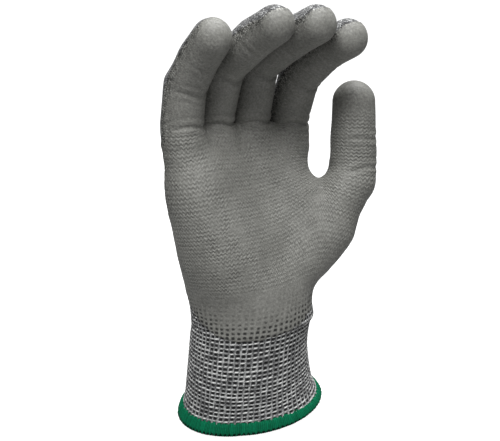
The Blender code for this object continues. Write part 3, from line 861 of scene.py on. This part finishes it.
class Surface:
    """A Principled material and short ways to wire nodes into it."""

    def __init__(self, name, **fixed):
        self.material = bpy.data.materials.new(name)
        self.material.use_nodes = True
        self.tree = self.material.node_tree
        self.shader = self.tree.nodes["Principled BSDF"]
        for socket, value in fixed.items():
            self.shader.inputs[socket.replace("_", " ")].default_value = value

    def node(self, kind, *inputs, **settings):
        made = self.tree.nodes.new(kind)
        for setting, value in settings.items():
            setattr(made, setting, value)
        for number, value in enumerate(inputs):
            self.put(made.inputs[number], value)
        return made

    def put(self, socket, value):
        if isinstance(value, bpy.types.NodeSocket):
            self.tree.links.new(value, socket)
        else:
            socket.default_value = value

    def math(self, operation, *inputs):
        return self.node("ShaderNodeMath", *inputs, operation=operation).outputs[0]

    def add(self, a, b):
        return self.math("ADD", a, b)

    def times(self, a, b):
        return self.math("MULTIPLY", a, b)

    def fact(self, name):
        return self.node("ShaderNodeAttribute", attribute_name=name).outputs["Fac"]

    def place(self):
        """The mesh's place in wales and courses, as two numbers."""
        split = self.node("ShaderNodeSeparateXYZ", self.node("ShaderNodeUVMap", uv_map="wales").outputs[0])
        return split.outputs[0], split.outputs[1]

    def rest(self):
        """Where a point lies on the resting glove, in millimetres."""
        return self.node("ShaderNodeAttribute", attribute_name="rest").outputs["Vector"]

    def vector(self, x, y, z=0.0):
        return self.node("ShaderNodeCombineXYZ", x, y, z).outputs[0]

    def noise(self, vector, scale, detail=2.0):
        made = self.node("ShaderNodeTexNoise")
        self.put(made.inputs["Vector"], vector)
        made.inputs["Scale"].default_value = scale
        made.inputs["Detail"].default_value = detail
        return made.outputs[0]

    def sine(self, x, turns=1.0):
        return self.math("SINE", self.times(x, 2 * math.pi * turns))

    def ramp(self, factor, stops):
        made = self.node("ShaderNodeValToRGB", factor)
        ramp = made.color_ramp
        while len(ramp.elements) < len(stops):
            ramp.elements.new(0.5)
        for element, (at, colour) in zip(ramp.elements, stops):
            element.position = at
            element.color = (*colour, 1)
        return made.outputs[0]

    def raise_by(self, height, distance):
        made = self.node("ShaderNodeBump")
        self.put(made.inputs["Height"], height)
        made.inputs["Distance"].default_value = distance
        self.tree.links.new(made.outputs[0], self.shader.inputs["Normal"])

    def colour(self, value):
        self.tree.links.new(value, self.shader.inputs["Base Color"])

    def jersey(self):
        """Height of a plain knit's V-shaped stitches, and a random shade for each half stitch."""
        u, v = self.place()
        wale = self.times(u, 3.0)
        x = self.math("ABSOLUTE", self.math("SUBTRACT", self.math("FRACT", wale), 0.5))
        course = self.math("SUBTRACT", self.times(v, 1 / 1.25), self.times(x, 1.1))
        leg = self.math("SINE", self.times(self.math("FRACT", course), math.pi))
        across = self.math("SINE", self.times(self.math("FRACT", self.times(wale, 2.0)), math.pi))
        height = self.times(leg, self.add(self.times(across, 0.55), 0.45))
        cell = self.vector(self.math("FLOOR", self.times(wale, 2.0)), self.math("FLOOR", course))
        shade = self.node("ShaderNodeTexWhiteNoise", cell).outputs[0]
        return height, shade


def film_material():
    s = Surface("polyurethane_film", Roughness=0.56, Specular_IOR_Level=0.35)
    u, v = s.place()
    flat = s.vector(s.times(u, 4.5), v)
    inset, ribbed = s.fact("inset"), s.fact("ribbed")
    sway = s.add(s.times(s.sine(u, 2.0), 0.22), s.times(s.math("SUBTRACT", s.noise(flat, 0.45), 0.5), 0.9))
    ripple = s.sine(s.add(s.times(v, 1 / RIPPLE), sway))
    ripple = s.times(ripple, s.fact("wavy"))
    grain = s.noise(s.rest(), 0.9, 4.0)
    fine = s.noise(s.rest(), 3.2, 2.0)
    stitch, shade = s.jersey()
    soak = s.math("EXPONENT", s.times(s.math("MAXIMUM", inset, 0.0), -1 / 4.0))
    plain = s.math("SUBTRACT", 1.0, ribbed)
    soak = s.times(soak, plain)
    tone = s.add(0.5, s.times(s.fact("mottle"), 0.10))
    # painted light and shade of the ripple: lighter on its crests, darker in its troughs, in step with its
    # bump
    tone = s.add(tone, s.times(ripple, 0.11))
    tone = s.add(tone, s.times(s.math("SUBTRACT", grain, 0.5), 0.7))
    tone = s.add(tone, s.times(s.math("SUBTRACT", fine, 0.5), 0.5))
    # the soaked knit's speckle near the film's edge, partly the marl and partly painted shade in the
    # stitches' valleys from their height
    tone = s.add(tone, s.times(s.times(s.math("SUBTRACT", s.times(stitch, shade), 0.45), soak), 2.0))
    shows = s.math("EXPONENT", s.times(s.math("MAXIMUM", inset, 0.0), -1 / 5.5))
    # where the knit shows by the film's edge: painted shade in its pits, and its stitches' painted highlights
    # and shade
    tone = s.math("SUBTRACT", tone, s.times(s.times(s.fact("pit"), shows), 1.1))
    tone = s.add(tone, s.times(s.times(s.math("SUBTRACT", s.fact("lightness"), 0.4), shows), 0.45))
    s.colour(s.ramp(tone, FILM_TONES))
    height = s.add(s.times(ripple, 0.6), s.times(grain, 0.7))
    height = s.add(height, s.times(fine, 0.35))
    height = s.add(height, s.times(s.times(stitch, soak), 1.2))
    s.raise_by(height, 0.00022)
    return s.material


def knit_material():
    s = Surface("marled_knit", Roughness=0.82, Specular_IOR_Level=0.3, Sheen_Weight=0.12, Sheen_Roughness=0.6)
    u, v = s.place()
    ribbed = s.fact("ribbed")
    stitch, shade = s.jersey()
    fibre = s.noise(s.rest(), 3.0, 3.0)
    streak = s.noise(s.vector(s.times(u, 4.4), s.times(v, 2.6)), 1.0, 2.0)
    # the stitch height also paints shade: darker in the valleys between the legs, lighter on their tops; the
    # random shade per half stitch is the marl's own
    jersey = s.add(s.times(stitch, 0.38), s.times(s.math("SUBTRACT", shade, 0.5), 0.5))
    jersey = s.add(jersey, 0.12)
    # on the cuff, the stitches' tone with its painted shade in the pits and painted highlights on the heads
    tone = s.add(s.times(jersey, s.math("SUBTRACT", 1.0, ribbed)), s.times(s.fact("lightness"), ribbed))
    tone = s.add(tone, s.times(s.math("SUBTRACT", fibre, 0.5), 0.5))
    tone = s.add(tone, s.times(s.math("SUBTRACT", streak, 0.5), 1.0))
    s.colour(s.ramp(tone, KNIT_TONES))
    height = s.add(s.times(s.times(stitch, s.math("SUBTRACT", 1.0, ribbed)), 1.1), s.times(fibre, 0.5))
    s.raise_by(height, 0.0003)
    return s.material


def hem_material():
    s = Surface("overlock_thread", Roughness=0.8, Specular_IOR_Level=0.12)
    spot = s.node("ShaderNodeTexCoord").outputs["Object"]
    # painted light and shade: each wrapped thread lighter on its crest and darker in the grooves, following
    # the rib relief
    tone = s.add(s.times(s.fact("rib"), 0.55), s.times(s.fact("thread"), 0.25))
    tone = s.add(tone, s.times(s.math("SUBTRACT", s.noise(spot, 900.0, 3.0), 0.5), 0.5))
    # painted shade: the needle holes darkened on top of their dent
    tone = s.math("SUBTRACT", tone, s.times(s.fact("dots"), 1.7))
    s.colour(s.ramp(tone, HEM_TONES))
    s.raise_by(s.noise(spot, 1600.0, 2.0), 0.0002)
    return s.material


def elastic_material():
    s = Surface("elastic_yarn", Roughness=0.7, Specular_IOR_Level=0.3)
    spot = s.node("ShaderNodeTexCoord").outputs["Object"]
    s.colour(s.ramp(s.noise(spot, 700.0, 3.0), ((0.2, (0.35, 0.35, 0.33)), (0.8, (0.75, 0.75, 0.70)))))
    s.raise_by(s.noise(spot, 1500.0), 0.0002)
    return s.material


# ---- studio ----
def make_floor():
    mesh = bpy.data.meshes.new("floor")
    size = 3.0
    low = FLOOR * MM
    corners = [(-size, -size, low), (size, -size, low), (size, size, low), (-size, size, low)]
    mesh.from_pydata(corners, [], [(0, 1, 2, 3)])
    floor = bpy.data.objects.new("floor", mesh)
    bpy.context.scene.collection.objects.link(floor)
    s = Surface("pale_floor", Roughness=0.9, Specular_IOR_Level=0.0)
    s.shader.inputs["Base Color"].default_value = (0.3, 0.3, 0.3, 1)
    seen = s.node("ShaderNodeLightPath").outputs["Is Camera Ray"]
    s.shader.inputs["Emission Color"].default_value = (1, 1, 1, 1)
    s.put(s.shader.inputs["Emission Strength"], s.times(seen, 1.0))
    mesh.materials.append(s.material)


def make_camera():
    azimuth, elevation, roll = (math.radians(x) for x in (CAMERA_AZIMUTH, CAMERA_ELEVATION, CAMERA_ROLL))
    level = math.cos(elevation)
    back = Vector((math.sin(azimuth) * level, -math.cos(azimuth) * level, math.sin(elevation)))
    right = Vector((math.cos(azimuth), math.sin(azimuth), 0))
    up = back.cross(right)
    turned = right * math.cos(roll) + up * math.sin(roll)
    above = up * math.cos(roll) - right * math.sin(roll)
    place = (Vector(CAMERA_TARGET) + back * CAMERA_DISTANCE) * MM
    camera = bpy.data.objects.new("camera", bpy.data.cameras.new("camera"))
    camera.data.lens = CAMERA_LENS
    camera.data.clip_start = 0.01
    camera.matrix_world = Matrix(
        [(*row, place[i]) for i, row in enumerate(zip(turned, above, back))] + [(0, 0, 0, 1)])
    bpy.context.scene.collection.objects.link(camera)
    bpy.context.scene.camera = camera
    return Vector(CAMERA_TARGET) * MM, turned, back


def add_light(name, target, place, energy, size):
    light = bpy.data.lights.new(name, "AREA")
    light.energy, light.size = energy, size
    lamp = bpy.data.objects.new(name, light)
    bpy.context.scene.collection.objects.link(lamp)
    lamp.location = place
    lamp.rotation_euler = (target - place).to_track_quat("-Z", "Y").to_euler()


def make_studio():
    make_floor()
    target, right, back = make_camera()
    world = bpy.data.worlds.new("studio")
    bpy.context.scene.world = world
    world.use_nodes = True
    nodes, links = world.node_tree.nodes, world.node_tree.links
    nodes["Background"].inputs["Color"].default_value = (1, 1, 1, 1)
    seen = nodes.new("ShaderNodeLightPath").outputs["Is Camera Ray"]
    strength = nodes.new("ShaderNodeMapRange")
    strength.inputs["To Min"].default_value = 0.18
    strength.inputs["To Max"].default_value = 1.0
    links.new(seen, strength.inputs["Value"])
    links.new(strength.outputs["Result"], nodes["Background"].inputs["Strength"])
    add_light("key", target, target + back * 0.52 - right * 0.1 + Vector((0, 0, 0.8)), 15.0, 0.45)
    add_light("top", target, target - back * 0.3 + right * 0.1 + Vector((0, 0, 0.8)), 7.0, 0.4)
    add_light("fill", target, target + back * 0.6 + right * 0.7 + Vector((0, 0, 0.3)), 1.0, 0.8)


bpy.context.scene.view_settings.view_transform = "Standard"
skin_pieces(make_skin(), {"film": film_material(), "knit": knit_material()})
make_hem(hem_material())
make_elastic(elastic_material())
make_studio()
